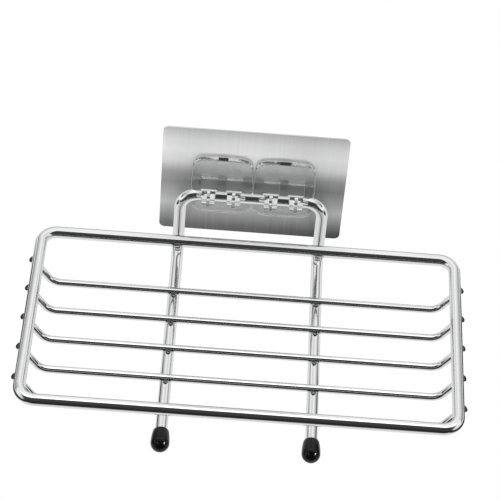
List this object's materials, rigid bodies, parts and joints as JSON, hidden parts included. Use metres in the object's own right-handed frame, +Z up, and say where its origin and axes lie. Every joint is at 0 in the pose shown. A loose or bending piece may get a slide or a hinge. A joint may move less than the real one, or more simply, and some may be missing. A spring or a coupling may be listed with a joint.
{
  "type": "wall-mounted soap dish",
  "caption": "Wire soap basket that hangs by a top bar in the clear moulded hooks of an adhesive wall plate and lifts off.",
  "frame": {"origin": "centre of the adhesive's back face, where the dish meets the wall", "axes": "+X to the viewer's right, +Y into the wall, +Z up"},
  "size_m": [0.1474, 0.0987, 0.0554],
  "materials": {
    "polished_wire": "polished",
    "brushed_plate": "vertical brushing",
    "clear_plastic": "clear moulded, glossy",
    "black_vinyl": "glossy dipped vinyl",
    "adhesive": "translucent adhesive film"
  },
  "bodies": {
    "wall_plate": {"adhesive_sheet": "adhesive", "backing_plate": "brushed_plate", "hook_pad_left": "clear_plastic", "hook_pad_right": "clear_plastic"},
    "rack": {"rim_frame": "polished_wire", "support_frame": "polished_wire", "cross_wire_1": "polished_wire", "cross_wire_2": "polished_wire", "cross_wire_3": "polished_wire", "cross_wire_4": "polished_wire", "cross_wire_5": "polished_wire", "end_cap_left": "black_vinyl", "end_cap_right": "black_vinyl"}
  },
  "joints": [
    {"name": "rack_lift", "type": "slide", "parent": "wall_plate", "child": "rack", "axis": [0, 0, 1], "range_m": [0, 0.008]}
  ]
}
